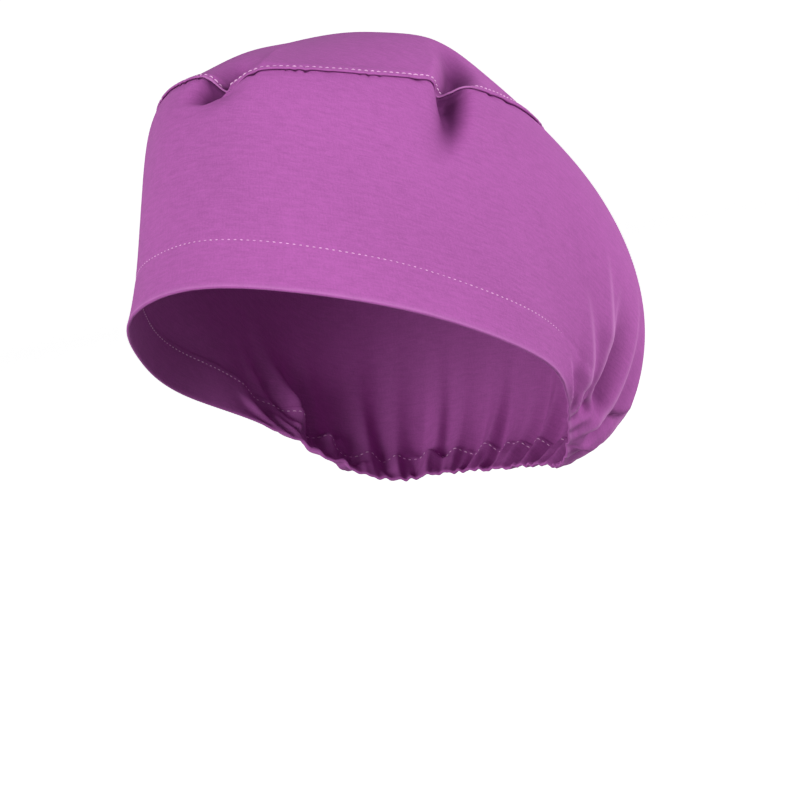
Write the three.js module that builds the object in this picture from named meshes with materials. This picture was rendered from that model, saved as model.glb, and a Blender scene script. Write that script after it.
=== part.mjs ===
import * as THREE from 'three';

// Soft cloth scrub cap, held in the form it has when worn. Sizes are in millimetres.
// The origin is the middle of the head opening at ear level. +Z is up, the front of the cap
// faces -Y and the wearer's left is +X.

// Driving dimensions
const WIDTH = 170; // across the sides, above the ears
const LENGTH = 226; // from the front of the rim to the back of the gathered pouch
const SET_BACK = 16; // how far the middle of that length lies behind the ears
const TOP = 138.5; // top of the crown above ear level
const CLOTH = 1.4; // thickness of the side wall and of the crown
const FACING_CLOTH = 1.2; // thickness of the hem's turned-up layer
const CLEARANCE = 0.3; // gap between pieces of cloth that touch
const HEM = 20; // depth of the hem, from the rim up to its stitch line
const GATHER = 3; // height of the tallest gather above the cloth round it
const DENT = 8; // depth of the deepest dent at the crown seam
const DOME = 2.5; // how fast the crown levels out: 1 is a cone, more is a flatter top

// Place of the crown's top along the cap, as a share of half the length, ahead of its middle
const APEX_AHEAD = 0.05;

// Stations round the cap, from the front (0 degrees) to the back (180 degrees), the same on both
// sides. The wall rises from the rim to the crown seam along one curve, steered by two points
// between, low and high. Each of the four gives its way out, as a share of the plan's half width
// and half length, and its height, as a share of TOP.
const STATIONS = [
  { angle: 0, rim: [1.02, 0.425], low: [0.88, 0.58], high: [0.82, 0.88], seam: [0.64, 0.98] },
  { angle: 30, rim: [1.02, 0.355], low: [0.9, 0.51], high: [0.83, 0.865], seam: [0.65, 0.955] },
  { angle: 60, rim: [1.03, 0.19], low: [0.95, 0.36], high: [0.87, 0.76], seam: [0.73, 0.885] },
  { angle: 80, rim: [1.02, 0.03], low: [1.01, 0.25], high: [0.99, 0.645], seam: [0.83, 0.815] },
  { angle: 100, rim: [0.85, -0.15], low: [1.03, -0.03], high: [1.15, 0.41], seam: [0.88, 0.705] },
  { angle: 120, rim: [0.71, -0.34], low: [1.17, -0.29], high: [1.32, 0.21], seam: [0.87, 0.605] },
  { angle: 150, rim: [0.63, -0.4], low: [1.11, -0.38], high: [1.25, 0.16], seam: [0.83, 0.515] },
  { angle: 180, rim: [0.6, -0.41], low: [1.07, -0.4], high: [1.17, 0.18], seam: [0.81, 0.48] },
];

// Gathers that the hem draws together behind the ears and across the nape, the same on both
// sides: angle at the rim, angle where the fold dies out, half width in degrees, rise as a share
// of the wall from rim to seam, and height as a share of GATHER.
const GATHERS = [
  { foot: 98, head: 95, half: 2.2, rise: 0.26, height: 0.6 },
  { foot: 104.5, head: 101, half: 2.4, rise: 0.52, height: 0.9 },
  { foot: 107.5, head: 113, half: 2.4, rise: 0.62, height: 0.8 },
  { foot: 113, head: 122, half: 2.6, rise: 0.66, height: 1 },
  { foot: 122, head: 131, half: 3, rise: 0.6, height: 0.9 },
  { foot: 132, head: 140, half: 3, rise: 0.62, height: 0.9 },
  { foot: 142, head: 149, half: 3, rise: 0.6, height: 0.85 },
  { foot: 152, head: 157, half: 3, rise: 0.58, height: 0.85 },
  { foot: 162, head: 166, half: 3, rise: 0.6, height: 0.85 },
  { foot: 173, head: 175, half: 3, rise: 0.58, height: 0.8 },
];

// Dents where the cloth sinks in beside the crown seam. Seam, low and far are the angles of the
// dent's line on the seam, at its lower end on the wall and at its far end on the crown. Down and
// over are its reach as shares of the wall's and the crown's length, depth is a share of DENT, and
// ridge is the height of the fold pushed up along its front edge, as a share of that depth.
const DENTS = [
  { seam: 5, low: 1, far: 20, half: 5, down: 0.24, over: 0.55, depth: 0.75, ridge: 0.1 },
  { seam: 77, low: 71, far: 122, half: 7, down: 0.4, over: 0.6, depth: 1, ridge: 0.35 },
  { seam: -84, low: -80, far: -125, half: 7, down: 0.35, over: 0.5, depth: 0.7, ridge: 0 },
];

// Rounded rises of the crown that the dents push up: angle and way of the middle, half sizes in
// degrees and in shares of the crown's length, and rise as a share of DENT.
const SWELLS = [
  { angle: 113, way: 0.42, half: 22, reach: 0.17, rise: 0.45 },
];

// Spacing of the columns of points round each half of the cap, in degrees: close where it folds
const COLUMN_ZONES = [
  { from: 0, to: 15, step: 3 },
  { from: 15, to: 63, step: 6 },
  { from: 63, to: 93, step: 3 },
  { from: 93, to: 125, step: 2 },
  { from: 125, to: 180, step: 2.5 },
];
const HEM_ROWS = 2;
const WALL_ROWS = 8; // between the hem line and the crown seam
const CROWN_ROWS = 6; // between the crown seam and its top

const CLOTH_LOOK = { color: 0xb563b0, roughness: 0.92, metalness: 0 };
const FACING_LOOK = { color: 0xa9589f, roughness: 0.95, metalness: 0 };

// A smooth closed curve through one column of the stations, mirrored to the other side. Part 0 is
// the column's way out and part 1 its height.
function closedCurve(column, part) {
  const back = STATIONS.slice(1, -1).reverse();
  const knots = [
    ...STATIONS.map((row) => ({ at: row.angle, value: row[column][part] })),
    ...back.map((row) => ({ at: 360 - row.angle, value: row[column][part] })),
  ];
  const count = knots.length;
  const span = (i) => (knots[(i + 1) % count].at - knots[i].at + 360) % 360;
  const rise = (i) => (knots[(i + 1) % count].value - knots[i].value) / span(i);
  const slopes = knots.map(() => 0);
  for (let sweep = 0; sweep < 40; sweep += 1) {
    for (let i = 0; i < count; i += 1) {
      const before = (i + count - 1) % count;
      const after = (i + 1) % count;
      const pull = 3 * (rise(before) / span(before) + rise(i) / span(i));
      const weight = 2 * (1 / span(before) + 1 / span(i));
      slopes[i] = (pull - slopes[before] / span(before) - slopes[after] / span(i)) / weight;
    }
  }
  return (angle) => {
    const turned = ((angle % 360) + 360) % 360;
    let i = count - 1;
    while (knots[i].at > turned) i -= 1;
    const after = (i + 1) % count;
    const t = (turned - knots[i].at) / span(i);
    const start = knots[i].value * (1 + 2 * t) * (1 - t) ** 2 + slopes[i] * span(i) * t * (1 - t) ** 2;
    const end = knots[after].value * t * t * (3 - 2 * t) - slopes[after] * span(i) * t * t * (1 - t);
    return start + end;
  };
}

const RINGS = ['rim', 'low', 'high', 'seam'].map((ring) => ({
  out: closedCurve(ring, 0),
  up: closedCurve(ring, 1),
}));

// Point of the plain wall, before its folds: height runs from 0 at the rim to 1 at the crown seam
function plainWall(angle, height) {
  const left = 1 - height;
  const shares = [left ** 3, 3 * height * left ** 2, 3 * height ** 2 * left, height ** 3];
  const out = shares.reduce((sum, share, i) => sum + share * RINGS[i].out(angle), 0);
  const up = shares.reduce((sum, share, i) => sum + share * RINGS[i].up(angle), 0);
  const turn = THREE.MathUtils.degToRad(angle);
  return new THREE.Vector3(
    out * (WIDTH / 2) * Math.sin(turn),
    SET_BACK - out * (LENGTH / 2) * Math.cos(turn),
    up * TOP,
  );
}

// Point of the plain crown: way runs from 0 at the crown seam to 1 at the top
function plainCrown(angle, way) {
  const seam = plainWall(angle, 1);
  return new THREE.Vector3(
    seam.x * (1 - way),
    THREE.MathUtils.lerp(seam.y, SET_BACK - APEX_AHEAD * (LENGTH / 2), way),
    THREE.MathUtils.lerp(seam.z, TOP, 1 - (1 - way) ** DOME),
  );
}

// Angle from one direction to another, between -180 and 180 degrees
function turnBetween(from, to) {
  return ((((to - from) % 360) + 540) % 360) - 180;
}

const bell = (x) => Math.exp(-x * x);
const fadeOut = (x) => 1 - THREE.MathUtils.smoothstep(x, 0, 1);

// How far the gathers lift the wall
function gatherLift(angle, height) {
  const side = Math.abs(turnBetween(0, angle));
  const drawnIn = 0.35 + 0.65 * THREE.MathUtils.smoothstep(height, 0, 0.3);
  let lift = 0;
  for (const fold of GATHERS) {
    const way = Math.min(height / fold.rise, 1);
    const line = THREE.MathUtils.lerp(fold.foot, fold.head, way ** 1.5);
    const across = bell((side - line) / fold.half) + bell((360 - side - line) / fold.half);
    lift += GATHER * fold.height * across * fadeOut(way);
  }
  return lift * drawnIn;
}

// How far the dents lift the cloth, below zero where it sinks. Way is 0 on the seam and 1 at the
// end of the wall or of the crown, and reach and end name the dent's columns for that side.
function dentLift(angle, way, reach, end) {
  let lift = 0;
  for (const dent of DENTS) {
    const along = Math.min(way / dent[reach], 1);
    const line = THREE.MathUtils.lerp(dent.seam, dent[end], along);
    const across = turnBetween(line, angle) / dent.half;
    const towardsFront = Math.sign(dent.seam) * -across;
    const fold = dent.ridge * bell((towardsFront - 1.7) / 0.9) - bell(across);
    lift += DENT * dent.depth * fold * fadeOut(along);
  }
  return lift;
}

// How far the swells lift the crown
function swellLift(angle, way) {
  const lifts = SWELLS.map((swell) => (
    DENT * swell.rise * bell(turnBetween(swell.angle, angle) / swell.half)
    * bell((way - swell.way) / swell.reach)
  ));
  return lifts.reduce((sum, lift) => sum + lift, 0);
}

// The cloth moves straight out from, or in towards, the middle of the head hollow
const HOLLOW_MIDDLE = new THREE.Vector3(0, SET_BACK, 0.3 * TOP);

function lifted(point, lift) {
  const outwards = point.clone().sub(HOLLOW_MIDDLE).normalize();
  return point.addScaledVector(outwards, lift);
}

function wallPoint(angle, height) {
  const lift = gatherLift(angle, height) + dentLift(angle, 1 - height, 'down', 'low');
  return lifted(plainWall(angle, height), lift);
}

function crownPoint(angle, way) {
  const lift = dentLift(angle, way, 'over', 'far') + swellLift(angle, way);
  return lifted(plainCrown(angle, way), lift);
}

const NUDGE_DEGREES = 0.5;
const NUDGE_SHARE = 0.005;

// Direction along the cloth away from the rim or the seam, and the direction out of the cloth
function upTheCloth(surface, angle, share) {
  const above = surface(angle, Math.min(share + NUDGE_SHARE, 1));
  const below = surface(angle, Math.max(share - NUDGE_SHARE, 0));
  return above.sub(below).normalize();
}

function outOfTheCloth(surface, angle, share) {
  const round = surface(angle + NUDGE_DEGREES, share).sub(surface(angle - NUDGE_DEGREES, share));
  return round.cross(upTheCloth(surface, angle, share)).normalize();
}

// Height of the hem line at each angle, found by walking HEM up the plain wall
function hemHeight(angle) {
  const step = 0.002;
  let height = 0;
  let walked = 0;
  let last = plainWall(angle, 0);
  while (walked < HEM) {
    height += step;
    const next = plainWall(angle, height);
    walked += next.distanceTo(last);
    last = next;
  }
  return height;
}

function columnAngles() {
  const half = [];
  for (const zone of COLUMN_ZONES) {
    for (let angle = zone.from; angle < zone.to; angle += zone.step) half.push(angle);
  }
  const mirrored = half.slice(1).map((angle) => 360 - angle);
  return [...half, 180, ...mirrored.reverse()];
}

const ANGLES = columnAngles();

function hemRows(angle) {
  const top = hemHeight(angle);
  return Array.from({ length: HEM_ROWS + 1 }, (_, i) => (top * i) / HEM_ROWS);
}

// Rows of the wall: those of the hem, then steps that close up towards the crown seam
function wallRows(angle) {
  const rows = hemRows(angle);
  const start = rows[rows.length - 1];
  for (let i = 1; i <= WALL_ROWS; i += 1) {
    const share = Math.sin((i / WALL_ROWS) * (Math.PI / 2)) * 0.4 + (i / WALL_ROWS) * 0.6;
    rows.push(start + (1 - start) * share);
  }
  return rows;
}

// Turns columns of points into rows that run round the cap
function rowsOf(columns) {
  return columns[0].map((_, row) => columns.map((column) => column[row]));
}

// One closed body between two matching sets of rows. A tip closes each set at a single point,
// and without tips the last rows are joined by an edge, as the first rows are.
function closedShell(outer, inner, outerTip, innerTip) {
  const count = ANGLES.length;
  const positions = [];
  const index = [];
  const add = (point) => {
    positions.push(point.x, point.y, point.z);
    return positions.length / 3 - 1;
  };
  const outerIds = outer.map((row) => row.map(add));
  const innerIds = inner.map((row) => row.map(add));
  const strip = (low, high, facesOut) => {
    for (let j = 0; j < count; j += 1) {
      const next = (j + 1) % count;
      const [a, b, c, d] = [low[j], low[next], high[next], high[j]];
      if (facesOut) index.push(a, b, c, a, c, d);
      else index.push(a, c, b, a, d, c);
    }
  };
  for (let i = 0; i + 1 < outerIds.length; i += 1) {
    strip(outerIds[i], outerIds[i + 1], true);
    strip(innerIds[i], innerIds[i + 1], false);
  }
  strip(innerIds[0], outerIds[0], true);
  const last = outerIds.length - 1;
  if (outerTip) {
    const outerTop = add(outerTip);
    const innerTop = add(innerTip);
    for (let j = 0; j < count; j += 1) {
      const next = (j + 1) % count;
      index.push(outerIds[last][j], outerIds[last][next], outerTop);
      index.push(innerIds[last][next], innerIds[last][j], innerTop);
    }
  } else {
    strip(outerIds[last], innerIds[last], true);
  }
  const geometry = new THREE.BufferGeometry();
  geometry.setAttribute('position', new THREE.Float32BufferAttribute(positions, 3));
  geometry.setIndex(index);
  geometry.computeVertexNormals();
  return geometry;
}

// Both faces of the cloth on the seam. They meet on the line halfway between the wall and the
// crown, and each piece draws back along its own cloth by half the clearance.
function seamEdge(surface, angle, share, backwards) {
  const wallOut = outOfTheCloth(wallPoint, angle, 1);
  const crownOut = outOfTheCloth(crownPoint, angle, 0);
  const halfway = wallOut.clone().add(crownOut).divideScalar(1 + wallOut.dot(crownOut));
  const drawnBack = upTheCloth(surface, angle, share).multiplyScalar(backwards * CLEARANCE / 2);
  const outer = surface(angle, share).add(drawnBack);
  return { outer, inner: outer.clone().addScaledVector(halfway, -CLOTH) };
}

function sideWall() {
  const outer = [];
  const inner = [];
  for (const angle of ANGLES) {
    const heights = wallRows(angle).slice(0, -1);
    const edge = seamEdge(wallPoint, angle, 1, -1);
    const face = heights.map((height) => wallPoint(angle, height));
    const back = heights.map((height, i) => (
      face[i].clone().addScaledVector(outOfTheCloth(wallPoint, angle, height), -CLOTH)
    ));
    outer.push([...face, edge.outer]);
    inner.push([...back, edge.inner]);
  }
  return closedShell(rowsOf(outer), rowsOf(inner));
}

function hemFacing() {
  const outer = [];
  const inner = [];
  for (const angle of ANGLES) {
    const behind = (height, depth) => (
      wallPoint(angle, height).addScaledVector(outOfTheCloth(wallPoint, angle, height), -depth)
    );
    const heights = hemRows(angle);
    outer.push(heights.map((height) => behind(height, CLOTH + CLEARANCE)));
    inner.push(heights.map((height) => behind(height, CLOTH + CLEARANCE + FACING_CLOTH)));
  }
  return closedShell(rowsOf(outer), rowsOf(inner));
}

function crownPanel() {
  const outer = [];
  const inner = [];
  for (const angle of ANGLES) {
    const edge = seamEdge(crownPoint, angle, 0, 1);
    const ways = Array.from({ length: CROWN_ROWS - 1 }, (_, i) => (i + 1) / CROWN_ROWS);
    const face = ways.map((way) => crownPoint(angle, way));
    const back = ways.map((way, i) => (
      face[i].clone().addScaledVector(outOfTheCloth(crownPoint, angle, way), -CLOTH)
    ));
    outer.push([edge.outer, ...face]);
    inner.push([edge.inner, ...back]);
  }
  const top = crownPoint(0, 1);
  const under = top.clone().add(new THREE.Vector3(0, 0, -CLOTH));
  return closedShell(rowsOf(outer), rowsOf(inner), top, under);
}

function clothPiece(name, geometry, look) {
  const mesh = new THREE.Mesh(geometry, new THREE.MeshStandardMaterial(look));
  mesh.name = name;
  return mesh;
}

const cap = new THREE.Group();
cap.add(clothPiece('side_wall', sideWall(), CLOTH_LOOK));
cap.add(clothPiece('hem_facing', hemFacing(), FACING_LOOK));
cap.add(clothPiece('crown_panel', crownPanel(), CLOTH_LOOK));

export default cap;
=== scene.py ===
import math

import bpy
import numpy as np
from mathutils import Matrix, Vector


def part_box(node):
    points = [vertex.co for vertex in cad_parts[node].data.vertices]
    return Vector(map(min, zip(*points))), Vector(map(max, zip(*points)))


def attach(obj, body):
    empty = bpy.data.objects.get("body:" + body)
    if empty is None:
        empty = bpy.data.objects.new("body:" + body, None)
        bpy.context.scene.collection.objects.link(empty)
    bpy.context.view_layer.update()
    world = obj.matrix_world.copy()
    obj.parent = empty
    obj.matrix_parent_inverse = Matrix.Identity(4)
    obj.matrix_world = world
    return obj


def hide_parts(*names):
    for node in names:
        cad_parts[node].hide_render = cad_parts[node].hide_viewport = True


bl_info = {
    "name": "Scrub Cap",
    "version": (1, 0, 0),
    "blender": (4, 5, 0),
    "location": "3D Viewport > Sidebar > Scrub Cap",
    "description": "Makes the cloth, seams and studio of a soft scrub cap",
    "category": "Add Mesh",
}

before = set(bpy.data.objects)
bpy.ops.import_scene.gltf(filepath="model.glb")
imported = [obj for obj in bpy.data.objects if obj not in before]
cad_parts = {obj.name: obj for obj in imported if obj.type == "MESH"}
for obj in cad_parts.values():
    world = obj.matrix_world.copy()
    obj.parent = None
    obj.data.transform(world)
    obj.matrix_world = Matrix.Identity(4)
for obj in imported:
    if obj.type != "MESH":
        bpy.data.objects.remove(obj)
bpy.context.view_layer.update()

# The cap is worn: its origin is the middle of the head opening at ear level, +Z is up and the
# front faces -Y. Angles are in degrees round the cap, from 0 at the front through 90 at the
# wearer's left to 180 at the back. Heights run from 0 at the rim to 1 at the crown seam, and ways
# from 0 at the crown seam to 1 at the top. Lengths are in metres.
CROWN_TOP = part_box("crown_panel")[1][2]
MM = 0.001


def table(fields, rows):
    """Named values for each row, from the names of the columns"""
    return [dict(zip(fields.split(), row)) for row in rows]


# Plain form: way out as a share of half the plan, and height as a share of the crown's top, at
# the rim, at two steering points and at the crown seam
STATIONS = table("angle rim low high seam", [
    (0, (1.02, 0.443), (0.88, 0.58), (0.82, 0.88), (0.64, 0.98)),
    (30, (1.02, 0.372), (0.9, 0.51), (0.83, 0.865), (0.65, 0.955)),
    (60, (1.03, 0.199), (0.95, 0.36), (0.87, 0.76), (0.73, 0.885)),
    (80, (1.02, 0.03), (1.01, 0.25), (0.99, 0.645), (0.83, 0.815)),
    (100, (0.85, -0.15), (1.03, -0.03), (1.15, 0.41), (0.88, 0.705)),
    (120, (0.71, -0.34), (1.17, -0.29), (1.32, 0.21), (0.87, 0.605)),
    (150, (0.63, -0.4), (1.11, -0.38), (1.25, 0.16), (0.83, 0.515)),
    (180, (0.6, -0.41), (1.07, -0.4), (1.17, 0.18), (0.81, 0.48)),
])

# Crisp folds that the hem draws together: (angle, height) at the foot, at a bend and where the
# fold dies out, half width in degrees, height and depth of the hollow behind it in millimetres
GATHERS = table("foot bend head half lift sink", [
    ((101.3, 0), (98.4, 0.053), (94.3, 0.18), 1.5, 1.8, 1.2),
    ((105.2, 0), (103.6, 0.094), (100.4, 0.25), 1.1, 1.3, 1.2),
    ((105.4, 0.03), (103.7, 0.076), (103.4, 0.2), 0.9, 1.2, 1.4),
    ((103.3, 0.13), (102.4, 0.319), (101.1, 0.47), 1.8, 2.6, 2.8),
    ((108, 0.35), (108.4, 0.49), (109.4, 0.63), 1.5, 1.4, 1),
    ((108.4, 0.14), (108, 0.35), (112.8, 0.57), 1.8, 2.8, 5.5),
    ((113.5, 0.07), (115.7, 0.303), (120.8, 0.6), 2, 3, 3),
    ((122, 0.02), (126.5, 0.3), (131.5, 0.64), 2.4, 1.2, 3.4),
    ((132, 0.03), (135, 0.3), (141, 0.66), 2.5, 1.4, 3.6),
    ((142, 0.02), (147, 0.28), (149, 0.6), 2.3, 2, 3.4),
    ((152, 0.03), (153.5, 0.3), (158, 0.64), 2.5, 2.2, 3),
    ((162, 0.02), (165.5, 0.3), (166, 0.6), 2.3, 2, 3.4),
    ((173, 0.03), (173, 0.3), (176, 0.64), 2.5, 2.2, 3),
])

# Soft hollows between the folds: middle, half sizes in degrees and in height, degrees that the
# hollow leans for each unit of height, and depth in millimetres
HOLLOWS = table("angle height half reach lean depth", [
    (110.4, 0.25, 2.2, 0.13, 18, 5.0),
    (108.4, 0.1, 1.2, 0.03, 0, 4.0),
    (118.6, 0.36, 2.4, 0.15, 18, 1.4),
    (98.8, 0.14, 1.8, 0.1, 0, 1.0),
    (130, 0.2, 2.4, 0.14, 10, 2.4),
    (128, 0.36, 6, 0.16, 0, 1.2),
    (132, 0.07, 6, 0.08, 0, 1.2),
    (151, 0.22, 2.6, 0.14, 6, 2.4),
    (169.5, 0.2, 2.8, 0.13, 4, 2.6),
])

# Tucks that run across the folds low on the pouch: the cloth above hangs over the cloth below.
# Ends as (angle, height), half depth in height, lift and sink in millimetres
TUCKS = table("start end half lift sink", [
    ((115.2, 0.17), (126, 0.26), 0.022, 0.8, 2.6),
    ((115, 0.01), (127, 0.1), 0.02, 0.7, 2.0),
    ((140, 0.17), (156, 0.11), 0.03, 1.0, 2.0),
])

# Dents where the cloth sinks in at the crown seam. Each follows a line from its angle on the seam
# through two points (angle, share from the seam) on the wall and two on the crown, and ends at the
# second. Halves are the half widths towards smaller and larger angles in degrees, on the wall and
# on the crown, widen is how much they grow, and depths in millimetres are those at the seam, in
# the wall and in the crown. Narrow pockets that the stiff seam bridges are shallow at the seam.
DENTS = table("seam wall crown halves widen depths", [
    (1.6, ((0.2, 0.08), (-6, 0.26)), ((1, 0.1), (-8, 0.4)),
     ((5.7, 10), (5.7, 10)), (0.3, 1), (8.6, 7, 5.5)),
    (-1.5, ((-3.8, 0.06), (-8, 0.18)), ((2.4, 0.06), (-3, 0.3)),
     ((5, 1.8), (2.6, 1.6)), (0.3, 0.8), (0.5, 16, 7)),
    (77.2, ((76.6, 0.06), (74, 0.2)), ((80, 0.08), (90, 0.25)),
     ((2.7, 3.3), (2.7, 3.3)), (0.4, 0.4), (8.2, 4, 4)),
    (80.5, ((76.8, 0.14), (66.5, 0.42)), ((85, 0.07), (109, 0.44)),
     ((4.2, 2.4), (3.2, 2.5)), (0, 1.7), (0.5, 9.5, 9)),
    (-84, ((-83, 0.1), (-80, 0.35)), ((-92, 0.15), (-120, 0.5)),
     ((6, 6), (6, 6)), (0.3, 0.3), (6, 4.5, 4.5)),
    (-85, ((-83, 0.12), (-80, 0.3)), ((-90, 0.1), (-118, 0.45)),
     ((2.2, 1.6), (2.2, 1.6)), (0.3, 0.6), (0.5, 5, 3.5)),
])

# Crisp fold edges on the crown beside the dents: (angle, way) at the seam, at a bend and where
# the fold dies out, half width in degrees and lift in millimetres
CROWN_FOLDS = table("foot bend head half lift", [
    ((18.5, 0), (17, 0.3), (20, 0.85), 5, 3.0),
    ((73, 0), (76, 0.07), (92, 0.35), 2.4, 2.2),
])

# Columns of points round one side of the cap: ends of each zone and spacing, in degrees
COLUMN_ZONES = table("start end step", [
    (0, 18, 0.5),
    (18, 66, 0.85),
    (66, 90, 0.35),
    (90, 124, 0.4),
    (124, 180, 0.6),
])


# Settings that a user would change

class ScrubCapSizes(bpy.types.PropertyGroup):
    """Sizes of the cap"""
    width: bpy.props.FloatProperty(
        name="Width", description="Across the sides above the ears",
        default=0.170, unit="LENGTH", subtype="DISTANCE")
    length: bpy.props.FloatProperty(
        name="Length", description="From the front of the rim to the back of the pouch",
        default=0.226, unit="LENGTH", subtype="DISTANCE")
    set_back: bpy.props.FloatProperty(
        name="Set back", description="How far the middle of the length lies behind the ears",
        default=0.016, unit="LENGTH", subtype="DISTANCE")
    crown_top: bpy.props.FloatProperty(
        name="Crown top", description="Top of the crown above ear level",
        default=CROWN_TOP, unit="LENGTH", subtype="DISTANCE")
    cloth: bpy.props.FloatProperty(
        name="Cloth", description="Thickness of one layer of cloth",
        default=0.0006, unit="LENGTH", subtype="DISTANCE")
    hem: bpy.props.FloatProperty(
        name="Hem", description="Depth of the hem, from the rim up to its stitch line",
        default=0.0185, unit="LENGTH", subtype="DISTANCE")
    swell: bpy.props.FloatProperty(
        name="Swell", description="Rise of the crown behind its deepest dent",
        default=0.0026, unit="LENGTH", subtype="DISTANCE")
    stitch_pitch: bpy.props.FloatProperty(
        name="Stitch pitch", description="Distance from one stitch to the next",
        default=0.0025, unit="LENGTH", subtype="DISTANCE")
    stitch_length: bpy.props.FloatProperty(
        name="Stitch length", description="Visible length of one stitch",
        default=0.0018, unit="LENGTH", subtype="DISTANCE")
    thread: bpy.props.FloatProperty(
        name="Thread", description="Thickness of the sewing thread",
        default=0.00042, unit="LENGTH", subtype="DISTANCE")


class ScrubCapColours(bpy.types.PropertyGroup):
    """Colours of the cap and of the studio"""
    cloth: bpy.props.FloatVectorProperty(
        name="Cloth", description="Colour of the plain weave",
        default=(0.474, 0.122, 0.434), size=3, min=0, max=1, subtype="COLOR")
    thread: bpy.props.FloatVectorProperty(
        name="Thread", description="Colour of the sewing thread",
        default=(0.86, 0.50, 0.79), size=3, min=0, max=1, subtype="COLOR")
    studio: bpy.props.FloatVectorProperty(
        name="Studio", description="Colour of the floor and backdrop",
        default=(0.86, 0.86, 0.86), size=3, min=0, max=1, subtype="COLOR")


# Form of the cap

def smoothstep(x):
    """Rises smoothly from 0 at 0 to 1 at 1"""
    x = np.clip(x, 0, 1)
    return x * x * (3 - 2 * x)


def bell(x):
    return np.exp(-x * x)


def crest(x, rounding=0.2):
    """A fold with a crisp rounded edge and soft skirts"""
    return np.exp(rounding - np.sqrt(x * x + rounding * rounding))


def leaning(x, before, after):
    """Distance from a line, measured in one unit before it and in another after it"""
    return np.where(x < 0, x / before, x / after)


def turn_between(start, end):
    """Angle from one direction to another, between -180 and 180 degrees"""
    return np.mod(end - start + 180, 360) - 180


def closed_curve(column, part):
    """A smooth closed curve through one column of the stations, mirrored to the other side"""
    angles = [row["angle"] for row in STATIONS]
    values = [row[column][part] for row in STATIONS]
    knots = np.array(angles + [360 - angle for angle in angles[-2:0:-1]], dtype=float)
    levels = np.array(values + values[-2:0:-1])
    count = len(knots)
    span = np.mod(np.roll(knots, -1) - knots, 360)
    rise = (np.roll(levels, -1) - levels) / span
    weights = np.zeros((count, count))
    pull = np.zeros(count)
    for i in range(count):
        before = i - 1
        after = (i + 1) % count
        weights[i, before] += 1 / span[before]
        weights[i, after] += 1 / span[i]
        weights[i, i] += 2 * (1 / span[before] + 1 / span[i])
        pull[i] = 3 * (rise[before] / span[before] + rise[i] / span[i])
    slopes = np.linalg.solve(weights, pull)

    def at(angle):
        turned = np.mod(angle, 360)
        i = np.searchsorted(knots, turned, side="right") - 1
        after = (i + 1) % count
        t = (turned - knots[i]) / span[i]
        start = levels[i] * (1 + 2 * t) * (1 - t) ** 2 + slopes[i] * span[i] * t * (1 - t) ** 2
        end = levels[after] * t * t * (3 - 2 * t) - slopes[after] * span[i] * t * t * (1 - t)
        return start + end

    return at


def through_three(height, foot, bend, head):
    """Angle of a fold's line at a height: the parabola through its three (angle, height) points"""
    (a0, h0), (a1, h1), (a2, h2) = foot, bend, head
    h = np.clip(height, h0, h2)
    share0 = (h - h1) * (h - h2) / ((h0 - h1) * (h0 - h2))
    share1 = (h - h0) * (h - h2) / ((h1 - h0) * (h1 - h2))
    share2 = (h - h0) * (h - h1) / ((h2 - h0) * (h2 - h1))
    return a0 * share0 + a1 * share1 + a2 * share2


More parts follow.
